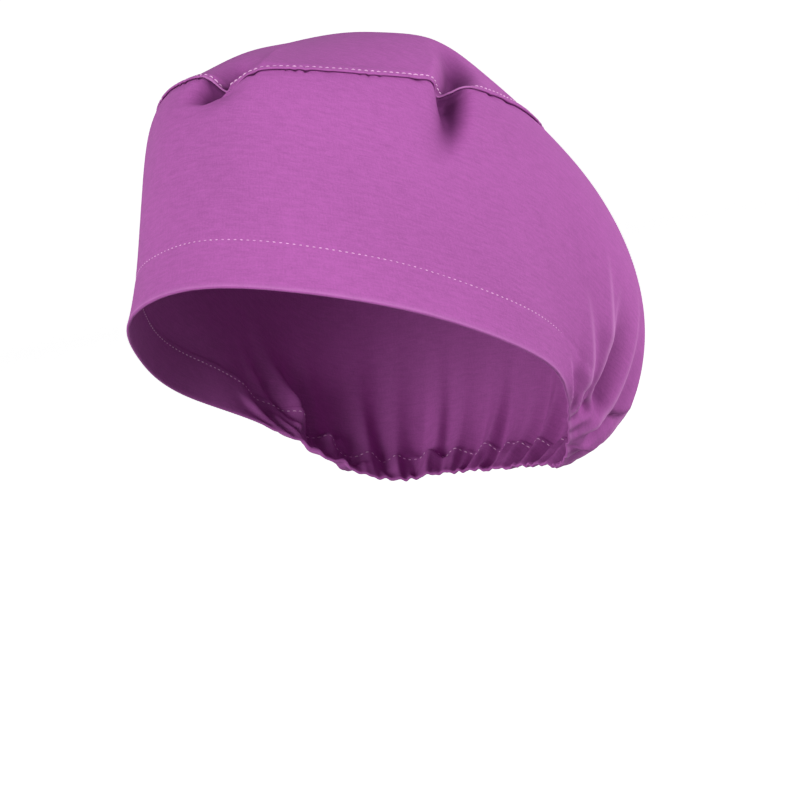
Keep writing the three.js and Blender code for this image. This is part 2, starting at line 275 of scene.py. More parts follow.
class CapForm:
    """Shape of the worn cap: its plain form and the folds that lie on it"""

    dome = 2.5  # how fast the crown levels out
    apex_ahead = 0.05  # place of the top, as a share of half the length, ahead of the middle
    far_side_shift = 1.6  # how far the folds of the two sides differ, in degrees
    drops = (0.016, 0.03)  # share from the seam in which the wall's and the crown's dents deepen
    dent_dark = 7  # depth in millimetres at which a dent's painted shade is darkest
    fold_dark = 9  # depth in millimetres at which a hollow's painted shade is darkest
    seam_blend = 0.12  # share from the seam over which the cloth takes its own direction
    pucker_reach = 0.02  # share from the seam that the puckers take up
    pucker_depths = (1.1 * MM, 0.5 * MM)  # on the wall and on the crown

    def __init__(self, sizes):
        self.sizes = sizes
        self.rings = [
            (closed_curve(ring, 0), closed_curve(ring, 1)) for ring in ("rim", "low", "high", "seam")
        ]

    def plain_wall(self, angle, height):
        angle, height = np.broadcast_arrays(np.asarray(angle, float), np.asarray(height, float))
        left = 1 - height
        shares = [left ** 3, 3 * height * left ** 2, 3 * height ** 2 * left, height ** 3]
        out = sum(share * ring[0](angle) for share, ring in zip(shares, self.rings))
        up = sum(share * ring[1](angle) for share, ring in zip(shares, self.rings))
        turn = np.radians(angle)
        x = out * self.sizes.width / 2 * np.sin(turn)
        y = self.sizes.set_back - out * self.sizes.length / 2 * np.cos(turn)
        return np.stack([x, y, up * self.sizes.crown_top], axis=-1)

    def plain_crown(self, angle, way):
        angle, way = np.broadcast_arrays(np.asarray(angle, float), np.asarray(way, float))
        seam = self.plain_wall(angle, np.ones_like(way))
        apex_y = self.sizes.set_back - self.apex_ahead * self.sizes.length / 2
        x = seam[..., 0] * (1 - way)
        y = seam[..., 1] * (1 - way) + apex_y * way
        levelled = 1 - (1 - way) ** self.dome
        z = seam[..., 2] * (1 - levelled) + self.sizes.crown_top * levelled
        return np.stack([x, y, z], axis=-1)

    def side(self, angle):
        """Angle from the front on either side, with the folds of the far side shifted a little"""
        turned = turn_between(0, angle)
        shift = np.where(turned < 0, self.far_side_shift, 0) * np.sin(np.radians(np.abs(turned)))
        return np.abs(turned) + shift

    def gathers(self, angle, height):
        """How far the gathers lift the wall, how near each point is to the edge of one, which sets the
        painted highlight, and how deep it lies between two, which sets the painted shade"""
        side = self.side(angle)
        lift = np.zeros(np.broadcast(angle, height).shape)
        edges = np.zeros(lift.shape)
        shade = np.zeros(lift.shape)
        for fold in GATHERS:
            line = through_three(height, fold["foot"], fold["bend"], fold["head"])
            foot, head = fold["foot"][1], fold["head"][1]
            fading = 1 - smoothstep((height - foot) / (head - foot))
            strength = smoothstep((height - foot + 0.035) / 0.08) * fading
            for x in ((side - line) / fold["half"], (360 - side - line) / fold["half"]):
                up = crest(leaning(x, 2.0, 0.8)) * fold["lift"]
                down = bell((x - 1.8) / 1.1) * fold["sink"]
                lift += (up - down) * MM * strength
                # Painted highlight along each fold's edge, and painted shade in the hollow behind it
                edges += bell(x / 0.3) * np.sqrt(strength)
                shade += down * strength / self.fold_dark
        return lift, np.clip(edges, 0, 1), shade

    def hollow_lift(self, angle, height):
        """How far the soft hollows sink the wall"""
        side = self.side(angle)
        lift = np.zeros(np.broadcast(angle, height).shape)
        for hollow in HOLLOWS:
            line = hollow["angle"] + hollow["lean"] * (height - hollow["height"])
            across = bell((side - line) / hollow["half"])
            along = bell((height - hollow["height"]) / hollow["reach"])
            lift -= hollow["depth"] * MM * across * along
        return lift

    def tuck_lift(self, angle, height):
        """How far the tucks lift the wall above them and sink it below"""
        side = self.side(angle)
        lift = np.zeros(np.broadcast(angle, height).shape)
        for tuck in TUCKS:
            (a0, h0), (a1, h1) = tuck["start"], tuck["end"]
            along = np.clip((side - a0) / (a1 - a0), 0, 1)
            above = (height - h0 - (h1 - h0) * along) / tuck["half"]
            hanging = bell(leaning(above, 0.35, 1.8))
            sunk = bell(leaning(above + 0.8, 2.2, 0.6))
            ends = smoothstep(along / 0.25) * (1 - smoothstep((along - 0.75) / 0.25))
            lift += (tuck["lift"] * hanging - tuck["sink"] * sunk) * MM * ends
        return lift

    def rim_ripple(self, angle, height):
        """Small puckers that the drawn-in hem leaves behind the ears and across the nape"""
        side = self.side(angle)
        waves = np.sin(1.05 * side + 1.6 * np.sin(0.23 * side)) + 0.4 * np.sin(1.9 * side + 1)
        drawn = smoothstep((side - 99) / 16)
        return 0.5 * MM * waves * drawn * (1 - smoothstep(height / 0.24))

    def sway(self, angle, height):
        """Slow unevenness of loose cloth"""
        turn = np.radians(angle)
        waves = np.sin(5 * turn + 4 * height + 0.7) + 0.7 * np.sin(9 * turn - 6 * height + 2)
        waves = waves + 0.5 * np.sin(14 * turn + 9 * height)
        return 0.35 * MM * waves * smoothstep(height / 0.3) * (1 - smoothstep((height - 0.8) / 0.2))

    def dents(self, angle, way, part):
        """How far the dents sink the wall or the crown, and how much painted shade each point gets from
        lying deep in a pocket.
        Way is the share from the seam."""
        lift = np.zeros(np.broadcast(angle, way).shape)
        shade = np.zeros(lift.shape)
        which = ("wall", "crown").index(part)
        for dent in DENTS:
            middle, end = dent[part]
            along = np.minimum(way / end[1], 1)
            line = through_three(way, (dent["seam"], 0), middle, end)
            halves = dent["halves"][which]
            back = turn_between(line, angle) / (1 + dent["widen"][which] * along)
            across = bell(leaning(back, *halves))
            at_seam, deep = dent["depths"][0], dent["depths"][1 + which]
            depth = at_seam + (deep - at_seam) * smoothstep(way / self.drops[which])
            spread = across * (1 - smoothstep((along - 0.25) / 0.75))
            lift -= depth * MM * spread
            bridged = at_seam < 1  # the seam spans a pocket that is shallow there
            # Painted shade: pockets that the seam bridges are darkened in full, other dents only a little
            # and only on the crown
            shade += deep * spread * (1 if bridged else 0.3 * which)
        return lift, shade / self.dent_dark

    def crown_fold_lift(self, angle, way):
        """How far the crisp folds beside the dents lift the crown"""
        lift = np.zeros(np.broadcast(angle, way).shape)
        for fold in CROWN_FOLDS:
            line = through_three(way, fold["foot"], fold["bend"], fold["head"])
            across = crest(leaning(turn_between(line, angle) / fold["half"], 0.7, 1.6))
            strength = smoothstep(way / 0.12) * (1 - smoothstep(way / fold["head"][1]))
            lift += fold["lift"] * MM * across * strength
        return lift

    def swell_lift(self, angle, way):
        """How far the crown swells behind its second dent and, less, ahead of its first"""
        behind = bell(turn_between(113, angle) / 22) * bell((way - 0.42) / 0.17)
        ahead = bell(turn_between(-24, angle) / 34) * bell((way - 0.56) / 0.26)
        return self.sizes.swell * (behind + 0.6 * ahead)

    def puckers(self, angle):
        """Uneven dimples, from 0 to 1, that the stitching draws into the crown seam"""
        turn = np.radians(angle)
        waves = 0.5 + 0.5 * np.sin(79 * turn + 3.4 * np.sin(13 * turn))
        return waves ** 3 * (0.5 + 0.5 * np.sin(23 * turn + 2.2 * np.sin(5 * turn))) ** 1.5

    def seam_out(self, angle):
        """Direction out of the cloth on the crown seam, halfway between the wall and the crown"""
        ones = np.ones(np.shape(angle))
        return unit(out_of(self.plain_wall, angle, ones) + out_of(self.plain_crown, angle, 0 * ones))

    def lifted(self, surface, angle, share, from_seam, lift):
        """Points of a plain surface moved straight out from, or in towards, the hollow"""
        angle, share = np.broadcast_arrays(np.asarray(angle, float), np.asarray(share, float))
        own = smoothstep(np.broadcast_to(from_seam, angle.shape) / self.seam_blend)[..., None]
        outwards = unit(own * out_of(surface, angle, share) + (1 - own) * self.seam_out(angle))
        return surface(angle, share) + outwards * lift[..., None]

    def wall(self, angle, height):
        lift = self.gathers(angle, height)[0] + self.hollow_lift(angle, height)
        lift = lift + self.tuck_lift(angle, height) + self.rim_ripple(angle, height)
        lift = lift + self.sway(angle, height) + self.dents(angle, 1 - height, "wall")[0]
        lift = lift - self.pucker_depths[0] * self.puckers(angle) * bell((1 - height) / self.pucker_reach)
        return self.lifted(self.plain_wall, angle, height, 1 - height, lift)

    def crown(self, angle, way):
        lift = self.dents(angle, way, "crown")[0] + self.swell_lift(angle, way)
        lift = lift + self.crown_fold_lift(angle, way)
        lift = lift - self.pucker_depths[1] * self.puckers(angle) * bell(way / self.pucker_reach)
        return self.lifted(self.plain_crown, angle, np.minimum(way, 0.995), way, lift)

    def hem_height(self, angle):
        """Height of the stitch line: the hem's depth walked up the plain wall from the rim"""
        heights = np.linspace(0, 0.4, 161)
        points = self.plain_wall(np.asarray(angle)[:, None], heights[None, :])
        steps = np.linalg.norm(np.diff(points, axis=1), axis=2)
        walked = np.concatenate([np.zeros((len(angle), 1)), np.cumsum(steps, axis=1)], axis=1)
        return np.array([np.interp(self.sizes.hem, row, heights) for row in walked])


def unit(vectors):
    return vectors / np.maximum(np.linalg.norm(vectors, axis=-1, keepdims=True), 1e-12)


def column_angles():
    """Angles of the columns, from the back round the wearer's right, the front and the left"""
    half = []
    for zone in COLUMN_ZONES:
        half += list(np.arange(zone["start"], zone["end"] - 1e-6, zone["step"]))
    half = np.array(half)
    return np.concatenate([[-180.0], -half[:0:-1], half])


def up_along(surface, angle, share, step=0.004):
    """Direction along a surface away from the rim or from the seam"""
    above = surface(angle, np.minimum(share + step, 1))
    return unit(above - surface(angle, np.maximum(share - step, 0)))


def out_of(surface, angle, share, step=0.004, turn=0.4):
    """Direction out of a surface at each point, from its neighbours a small step and turn away"""
    around = surface(angle + turn, share) - surface(angle - turn, share)
    above = surface(angle, np.minimum(share + step, 1))
    return unit(np.cross(around, above - surface(angle, np.maximum(share - step, 0))))


def lengths_up(points):
    """Length along each column, row by row"""
    steps = np.linalg.norm(np.diff(points, axis=0), axis=2)
    return np.concatenate([np.zeros((1, points.shape[1])), np.cumsum(steps, axis=0)], axis=0)


def lengths_round(points):
    """Length along one closed row, with the whole girth as its last value"""
    steps = np.linalg.norm(np.roll(points, -1, axis=0) - points, axis=1)
    return np.concatenate([[0], np.cumsum(steps)])


def half_round(start, end, bulge, count):
    """Rows that close a sheet's edge with a half round from one face to the other"""
    middle = (start + end) / 2
    arm = (start - end) / 2
    radius = np.linalg.norm(arm, axis=-1, keepdims=True)
    turns = np.linspace(0, math.pi, count + 2)[1:-1]
    return np.stack([middle + arm * math.cos(t) + bulge * radius * math.sin(t) for t in turns])


def ringed_mesh(name, rings, uv, closed, tips=None):
    """A mesh whose rings of points run round the cap. Closed joins the last ring to the first,
    and tips close the first and the last ring at a point each. Uv has one column more."""
    rows, columns = rings.shape[:2]
    points = rings.reshape(-1, 3)
    flat_uv = uv.reshape(-1, 2)
    j = np.arange(columns)
    after = (j + 1) % columns
    wide = columns + 1
    corners = []
    corner_uv = []
    for i in range(rows if closed else rows - 1):
        k = (i + 1) % rows
        low, high = i * columns, k * columns
        corners.append(np.stack([low + j, low + after, high + after, high + j], 1))
        low, high = i * wide + j, k * wide + j
        corner_uv.append(np.stack([low, low + 1, high + 1, high], 1))
    faces = np.concatenate(corners)
    face_uv = flat_uv[np.concatenate(corner_uv)].reshape(-1, 2)
    polygons = [tuple(face) for face in faces.tolist()]
    all_uv = [face_uv]
    if tips is not None:
        base = len(points)
        points = np.concatenate([points, [tips[0]["point"], tips[1]["point"]]])
        last = (rows - 1) * columns
        for a, b in zip(j, after):
            polygons.append((int(b), int(a), base))
            polygons.append((int(last + a), int(last + b), base + 1))
            all_uv.append(np.array([uv[0, a + 1], uv[0, a], tips[0]["uv"]]))
            all_uv.append(np.array([uv[-1, a], uv[-1, a + 1], tips[1]["uv"]]))
    mesh = bpy.data.meshes.new(name)
    mesh.from_pydata(points.tolist(), [], polygons)
    layer = mesh.uv_layers.new(name="cloth")
    layer.data.foreach_set("uv", np.concatenate(all_uv).ravel())
    mesh.shade_smooth()
    mesh.validate()
    return mesh


def add_values(mesh, name, values, first_ring=0):
    """Stores one value for each point of some rings, for the cloth material to read"""
    layer = mesh.attributes.new(name, "FLOAT", "POINT")
    stored = np.zeros(len(mesh.vertices))
    start = first_ring * values.shape[1]
    stored[start:start + values.size] = np.clip(values, 0, 1).ravel()
    layer.data.foreach_set("value", stored)


def new_piece(name, mesh, material):
    """An object at the origin that shows a mesh in one material"""
    piece = bpy.data.objects.new(name, mesh)
    bpy.context.scene.collection.objects.link(piece)
    mesh.materials.append(material)
    return piece


# Materials

def new_material(name, colour):
    material = bpy.data.materials.new(name)
    material.use_nodes = True
    material.diffuse_color = (*colour, 1)
    nodes = material.node_tree.nodes
    return material, nodes, material.node_tree.links, nodes["Principled BSDF"]


def math_node(nodes, links, operation, first, second=None):
    """A Math node whose inputs are sockets or numbers"""
    node = nodes.new("ShaderNodeMath")
    node.operation = operation
    for socket, value in zip(node.inputs, (first, second)):
        if value is None:
            continue
        if isinstance(value, (int, float)):
            socket.default_value = value
        else:
            links.new(value, socket)
    return node.outputs[0]


def noise_node(nodes, links, vector, scale, detail=2.0):
    node = nodes.new("ShaderNodeTexNoise")
    node.inputs["Scale"].default_value = scale
    node.inputs["Detail"].default_value = detail
    links.new(vector, node.inputs["Vector"])
    return node.outputs["Fac"]


def stretched(nodes, links, vector, scale):
    node = nodes.new("ShaderNodeMapping")
    node.inputs["Scale"].default_value = scale
    links.new(vector, node.inputs["Vector"])
    return node.outputs["Vector"]


def ramp_node(nodes, links, value, dark, light):
    """Colour that a value picks between a dark and a light one, each a (position, colour)"""
    node = nodes.new("ShaderNodeValToRGB")
    for element, (position, colour) in zip(node.color_ramp.elements, (dark, light)):
        element.position = position
        element.color = (*colour, 1)
    links.new(value, node.inputs[0])
    return node.outputs[0]


def mixed_by(nodes, links, attribute, share, under, over):
    """A colour laid over another by the value that each point of the mesh stores"""
    stored = nodes.new("ShaderNodeAttribute")
    stored.attribute_name = attribute
    node = nodes.new("ShaderNodeMix")
    node.data_type = "RGBA"
    links.new(math_node(nodes, links, "MULTIPLY", stored.outputs["Fac"], share), node.inputs[0])
    links.new(under, node.inputs[6])
    node.inputs[7].default_value = (*over, 1)
    return node.outputs[2]


def add_bump(nodes, links, shader, height, strength, distance):
    bump = nodes.new("ShaderNodeBump")
    bump.inputs["Strength"].default_value = strength
    bump.inputs["Distance"].default_value = distance
    links.new(height, bump.inputs["Height"])
    links.new(bump.outputs["Normal"], shader.inputs["Normal"])


def cloth_material(name, colour, shade=1.0):
    """Matt plain weave of fine polyester and cotton: its yarns follow the piece's uv map, which
    is in metres along and across the cloth. The points' painted shade darkens it in pockets and
    hollows, and their painted highlight lightens it along fold edges, the rim and the crown's edge."""
    yarn_pitch = 0.00042
    material, nodes, links, shader = new_material(name, colour)

    def times(first, second):
        return math_node(nodes, links, "MULTIPLY", first, second)

    def plus(first, second):
        return math_node(nodes, links, "ADD", first, second)

    cloth_map = nodes.new("ShaderNodeUVMap")
    cloth_map.uv_map = "cloth"
    uv = cloth_map.outputs["UV"]
    wander = noise_node(nodes, links, uv, 180, 1.0)
    split = nodes.new("ShaderNodeSeparateXYZ")
    links.new(uv, split.inputs[0])
    wave = 2 * math.pi / yarn_pitch
    drift = times(wander, 5.0)
    warp = plus(times(split.outputs["X"], wave), drift)
    weft = plus(times(split.outputs["Y"], wave), drift)
    over = math_node(nodes, links, "SINE", warp)
    under = math_node(nodes, links, "SINE", weft)
    weave = times(over, under)

    slub_round = noise_node(nodes, links, stretched(nodes, links, uv, (220, 1900, 1)), 1.0, 3.0)
    slub_up = noise_node(nodes, links, stretched(nodes, links, uv, (1900, 220, 1)), 1.0, 3.0)
    slubs = plus(slub_round, slub_up)
    fuzz = noise_node(nodes, links, uv, 1400)
    blotch = noise_node(nodes, links, uv, 22)
    ribs = noise_node(nodes, links, stretched(nodes, links, uv, (150, 700, 1)), 1.0)

    tone = times(slubs, 0.25)
    for part, weight in ((ribs, 0.32), (fuzz, 0.38), (blotch, 0.2), (weave, 0.05)):
        tone = plus(tone, times(part, weight))
    # Painted shade below one makes the whole cloth darker
    dark = [shade * 0.88 * value for value in colour]
    light = [min(1, shade * 1.12 * value) for value in colour]
    plain = ramp_node(nodes, links, tone, (0.56, dark), (0.84, light))
    # Colour of the painted shade in pockets and in the hollows between gathers
    deep = (0.26 * colour[0], 0.16 * colour[1], 0.26 * colour[2])
    with_painted_shade = mixed_by(nodes, links, "shade", 0.85, plain, deep)
    # Colour of the painted highlight along fold edges, the rim and the crown's edge
    pale = [min(1, 1.15 * value + 0.14) for value in colour]
    with_painted_highlight = mixed_by(nodes, links, "painted_highlight", 0.75, with_painted_shade, pale)
    links.new(with_painted_highlight, shader.inputs["Base Color"])

    links.new(plus(times(fuzz, 0.14), 0.72), shader.inputs["Roughness"])
    shader.inputs["Specular IOR Level"].default_value = 0.12
    shader.inputs["IOR"].default_value = 1.35
    shader.inputs["Sheen Weight"].default_value = 0.015
    shader.inputs["Sheen Roughness"].default_value = 0.45
    shader.inputs["Sheen Tint"].default_value = (1.0, 0.72, 0.96, 1)

    relief = plus(times(weave, 0.5), fuzz)
    relief = plus(relief, slubs)
    relief = plus(relief, times(ribs, 1.6))
    add_bump(nodes, links, shader, relief, 0.35, 0.00012)
    return material


def thread_material(name, colour):
    """Sewing thread: fine uneven plies, with paler and darker stretches"""
    material, nodes, links, shader = new_material(name, colour)
    place = nodes.new("ShaderNodeTexCoord").outputs["Object"]
    fine = noise_node(nodes, links, place, 5200)
    patches = noise_node(nodes, links, place, 330, 1.0)
    plies = math_node(nodes, links, "ADD", math_node(nodes, links, "MULTIPLY", fine, 0.35),
                      math_node(nodes, links, "MULTIPLY", patches, 0.65))
    dark = (0.75 * colour[0], 0.5 * colour[1], 0.75 * colour[2])
    light = [min(1, 1.12 * value) for value in colour]
    links.new(ramp_node(nodes, links, plies, (0.3, dark), (0.55, light)), shader.inputs["Base Color"])
    rough = math_node(nodes, links, "ADD", math_node(nodes, links, "MULTIPLY", plies, 0.2), 0.45)
    links.new(rough, shader.inputs["Roughness"])
    shader.inputs["Sheen Weight"].default_value = 0.2
    add_bump(nodes, links, shader, plies, 0.4, 0.0001)
    return material


# Cloth pieces

HEM_ROWS = 14
WALL_ROWS = 73
CROWN_ROWS = 73
CLOSE_WAYS = [0, 0.004, 0.009, 0.015, 0.022, 0.03, 0.04, 0.052, 0.066, 0.082]  # beside the seam
CROWN_END = 0.985  # way of the last row, which one point closes
INNER_STEP = 2  # the hidden inner face has every second row
FOLD_ROWS = 5
EDGE_ROWS = 3  # rows in the facing's round edges
HEM_GAP = 0.00015  # between the wall and the facing
SEAM_PROUD = 0.0009  # how far the crown's folded edge stands out from the wall
CROWN_STITCH_LINE = 0.0019  # from the crown's edge
CROWN_REACH = 0.085  # rough length of the whole way over the crown
GROOVE = 0.25 * MM  # depth that the hem's thread pulls the cloth in
GROOVE_HALF = 0.0011
HEM_LAP = 1.09  # reach of the facing as a share of the hem
HEM_SHADE = 0.94  # painted shade: the facing's cloth is coloured a little darker
UV_TURN = 0.0002  # step of the uv maps round an edge
UV_FOLD = 0.0012  # length in the uv maps that a folded edge takes up
GIRTH_HEIGHT = 0.45  # height at which the wall's length round is measured


def wall_heights(form, angles):
    """Heights of the wall's rows: even over the hem, then closing up towards the crown seam"""
    hem = form.hem_height(angles)
    lower = np.linspace(0, 1, HEM_ROWS + 1)[:, None] * hem[None, :]
    steps = np.linspace(0, 1, WALL_ROWS + 1)[1:]
    shares = 0.4 * np.sin(steps * math.pi / 2) + 0.6 * steps
    upper = hem[None, :] + shares[:, None] * (1 - hem[None, :])
    return np.concatenate([lower, upper])


def hem_groove(up, sizes):
    """How far the hem's stitches pull the cloth in, by the length up from the rim"""
    return bell((up - sizes.hem) / GROOVE_HALF) * GROOVE


def girth(form, angles):
    """Length round the plain wall at each column, for the uv maps"""
    return lengths_round(form.plain_wall(angles, np.full(len(angles), GIRTH_HEIGHT)))


def laid_out(context):
    """What each piece starts from: the sizes, the form and the angles of the columns"""
    sizes = context.scene.scrub_cap_sizes
    return sizes, CapForm(sizes), column_angles()


def uv_grid(around, up):
    """Uv of each point, with one more column where the cloth closes on itself"""
    up = np.concatenate([up, up[:, :1]], axis=1)
    return np.stack([np.broadcast_to(around[None, :], up.shape), up], axis=2)


class SCRUBCAP_OT_side_wall(bpy.types.Operator):
    """Make the side wall: one band of cloth, folded under at the rim and gathered at the nape"""
    bl_idname = "scrub_cap.side_wall"
    bl_label = "Side Wall"

    def execute(self, context):
        sizes, form, angles = laid_out(context)
        heights = wall_heights(form, angles)
        face = form.wall(angles[None, :], heights)
        outwards = out_of(form.plain_wall, angles[None, :], heights)
        up = lengths_up(form.plain_wall(angles[None, :], heights))
        face = face - outwards * hem_groove(up, sizes)[..., None]
        under_crown = smoothstep((up - up[-1:] + 0.004) / 0.004) * 0.3 * MM
        face = face - outwards * under_crown[..., None]
        back = face - outwards * sizes.cloth

        downwards = -up_along(form.plain_wall, angles[None, :], heights[:1])[0]
        facing_out = face[0] - outwards[0] * (sizes.cloth * 2 + HEM_GAP)
        roll = half_round(facing_out, face[0], downwards, FOLD_ROWS)
        top = half_round(face[-1], back[-1], -downwards * 0.2, 1)
        inner_rows = np.arange(len(heights) - 1, -1, -INNER_STEP)
        tuck_under = np.stack([
            back[0] + (facing_out - back[0]) * share - downwards * 0.0004 for share in (0.35, 0.8)
        ])
        rings = np.concatenate([face, top, back[inner_rows], tuck_under, roll])

        around = girth(form, angles)
        edge = np.zeros((1, len(angles)))
        down = [edge - 2 * UV_TURN * (i + 1) for i in range(2)]
        rolled = [edge - UV_FOLD + UV_TURN * i for i in range(FOLD_ROWS)]
        rows = np.concatenate([up, up[-1:] + UV_TURN, up[inner_rows], *down, *rolled])
        mesh = ringed_mesh("side_wall_cloth", rings, uv_grid(around, rows), closed=True)
        # Painted highlight along the gathers' edges and along the rim, and painted shade between the
        # gathers and in the dents
        edges, shade = form.gathers(angles[None, :], heights)[1:]
        add_values(mesh, "painted_highlight", edges + 0.5 * bell(up / 0.0009))
        add_values(mesh, "shade", shade + form.dents(angles[None, :], 1 - heights, "wall")[1])
        colours = context.scene.scrub_cap_colours
        piece = new_piece("side_wall_cloth", mesh, cloth_material("cap cloth", colours.cloth))
        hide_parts("side_wall")
        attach(piece, "root")
        return {"FINISHED"}


class SCRUBCAP_OT_crown(bpy.types.Operator):
    """Make the crown: an oval of cloth whose folded edge is topstitched over the side wall"""
    bl_idname = "scrub_cap.crown"
    bl_label = "Crown"

    def execute(self, context):
        sizes, form, angles = laid_out(context)
        ways = np.concatenate([CLOSE_WAYS, np.linspace(0.1, CROWN_END, CROWN_ROWS)])
        grid = np.broadcast_to(ways[:, None], (len(ways), len(angles)))
        face = form.crown(angles[None, :], grid)
        outwards = out_of(form.plain_crown, angles[None, :], np.minimum(grid, 0.9))
        along = lengths_up(form.plain_crown(angles[None, :], grid))
        proud = SEAM_PROUD * (1 - smoothstep((along - 0.002) / 0.006))
        uneven = 0.3 + 0.25 * form.puckers(angles)[None, :]
        pinch = bell((along - CROWN_STITCH_LINE) / 0.0008) * uneven * MM
        face = face + outwards * (proud - pinch)[..., None]
        back = face - outwards * sizes.cloth

        away = -up_along(form.plain_crown, angles[None, :], grid[:1])[0]
        turned = half_round(back[0] - outwards[0] * 0.0003, face[0], away, FOLD_ROWS)
        close = len(CLOSE_WAYS) + 4  # the inner face has every row up to here, where the dents are steep
        sparse = np.arange(len(ways) - 1, close, -INNER_STEP)
        inner_rows = np.concatenate([sparse, np.arange(close, -1, -1)])
        rings = np.concatenate([back[inner_rows], turned, face])
        top = form.crown(np.array([0.0]), np.array([1.0]))[0]
        under = top - np.array([0, 0, sizes.cloth])

        turn = np.radians(angles)
        reach = along[-1:] + np.linalg.norm(face[-1:] - top, axis=2)
        spread = reach - along

        def plan_uv(distance):
            around = np.stack([np.sin(turn) * distance, -np.cos(turn) * distance], axis=2)
            return np.concatenate([around, around[:, :1]], axis=1)

        edge = spread[:1] + np.linspace(UV_FOLD, UV_TURN, FOLD_ROWS)[:, None]
        uv = np.concatenate([plan_uv(spread[inner_rows]), plan_uv(edge), plan_uv(spread)])
        tips = [{"point": under, "uv": (0, 0)}, {"point": top, "uv": (0, 0)}]
        mesh = ringed_mesh("crown_cloth", rings, uv, closed=False, tips=tips)
        first = len(inner_rows)
        # Painted highlight on the crown's folded edge, strongest beside the dents at the front and at the
        # wearer's left
        painted_edge_highlight = 0.08 + 0.6 * bell(turn_between(81, angles) / 4) + 0.6 * bell(turn_between(-3, angles) / 5)
        painted_highlight = np.concatenate([np.tile(painted_edge_highlight, (FOLD_ROWS, 1)), painted_edge_highlight * bell(along / 0.0006)])
        add_values(mesh, "painted_highlight", painted_highlight, first)
        # Painted shade in the crown's dents
        shade = form.dents(angles[None, :], grid, "crown")[1]
        add_values(mesh, "shade", shade, first + FOLD_ROWS)
        piece = new_piece("crown_cloth", mesh, bpy.data.materials["cap cloth"])
        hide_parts("crown_panel")
        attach(piece, "root")
        return {"FINISHED"}


class SCRUBCAP_OT_hem_facing(bpy.types.Operator):
    """Make the hem facing: the layer of the hem that is turned up inside the rim"""
    bl_idname = "scrub_cap.hem_facing"
    bl_label = "Hem Facing"

    def execute(self, context):
        sizes, form, angles = laid_out(context)
        hem = form.hem_height(angles)
        rows = np.linspace(0, HEM_LAP, HEM_ROWS + 2)[:, None] * hem[None, :]
        outwards = out_of(form.plain_wall, angles[None, :], rows)
        face = form.wall(angles[None, :], rows) - outwards * (sizes.cloth + HEM_GAP)
        up = lengths_up(face)
        back = face - outwards * sizes.cloth + outwards * hem_groove(up, sizes)[..., None]
        upwards = up_along(form.plain_wall, angles[None, :], rows[-1:])[0]
        top = half_round(face[-1], back[-1], upwards, EDGE_ROWS)
        foot = half_round(back[0], face[0], -upwards, EDGE_ROWS)
        rings = np.concatenate([face, top, back[::-1], foot])
        edge = UV_TURN * np.array([[1], [2], [1]])
        feet = np.zeros((EDGE_ROWS, len(angles))) - edge
        uv = uv_grid(girth(form, angles), np.concatenate([up, up[-1:] + edge, up[::-1], feet]))
        mesh = ringed_mesh("hem_facing_cloth", rings, uv, closed=True)
        colours = context.scene.scrub_cap_colours
        # The facing's cloth is the wall's cloth with painted shade
        piece = new_piece("hem_facing_cloth", mesh, cloth_material("hem cloth", colours.cloth, HEM_SHADE))
        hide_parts("hem_facing")
        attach(piece, "root")
        return {"FINISHED"}


# Stitches

STITCH_PROBE = 0.0008  # how far to each side a stitch looks for the run of its line


def one_stitch(sizes):
    """Points and faces of one stitch, modelled once: a rounded thread that dips at both ends"""
    bpy.ops.mesh.primitive_uv_sphere_add(segments=6, ring_count=6, radius=0.5, rotation=(0, math.pi / 2, 0))
    stitch = bpy.context.object
    bpy.ops.object.transform_apply(location=False, rotation=True, scale=False)
    points = np.array([tuple(vertex.co) for vertex in stitch.data.vertices])
    faces = [tuple(polygon.vertices) for polygon in stitch.data.polygons]
    bpy.data.objects.remove(stitch, do_unlink=True)
    points *= np.array([sizes.stitch_length, sizes.thread, sizes.thread])
    points[:, 2] -= sizes.thread * 0.9 * (2 * points[:, 0] / sizes.stitch_length) ** 2
    return points, faces


def stitch_row(name, line, outwards, sizes, material, start=0.0, fuller=1.0):
    """One piece with a stitch at every pitch along a closed line of points. Start shifts them by a
    share of the pitch, and fuller makes them larger."""
    points, faces = one_stitch(sizes)
    points = points * fuller
    around = lengths_round(line)
    count = round(around[-1] / sizes.stitch_pitch)
    places = (np.arange(count) + 0.5 + start) / count * around[-1]
    closed = np.concatenate([line, line[:1]])
    closed_out = np.concatenate([outwards, outwards[:1]])

    def on_line(values, at, period=None):
        return np.stack([np.interp(at, around, values[:, k], period=period) for k in range(3)], axis=1)

    at = on_line(closed, places)
    ahead = on_line(closed, places + STITCH_PROBE, around[-1])
    behind = on_line(closed, places - STITCH_PROBE, around[-1])
    out = unit(on_line(closed_out, places))
    along = unit(ahead - behind)
    beside = unit(np.cross(out, along))
    out = np.cross(along, beside)
    uneven = np.random.default_rng(7).uniform(-1, 1, (count, 2))
    size = 1 + 0.1 * uneven[:, 0]
    slant = 0.11 * uneven[:, 1]
    local_x = points[None, :, 0] * size[:, None]
    local_y = points[None, :, 1] + local_x * slant[:, None]
    local_z = points[None, :, 2] + sizes.thread * 0.32
    placed = at[:, None] + local_x[..., None] * along[:, None] + local_y[..., None] * beside[:, None]
    placed = placed + local_z[..., None] * out[:, None]
    base = len(points)
    polygons = [tuple(index + i * base for index in face) for i in range(count) for face in faces]
    mesh = bpy.data.meshes.new(name)
    mesh.from_pydata(placed.reshape(-1, 3).tolist(), [], polygons)
    mesh.shade_smooth()
    return new_piece(name, mesh, material)


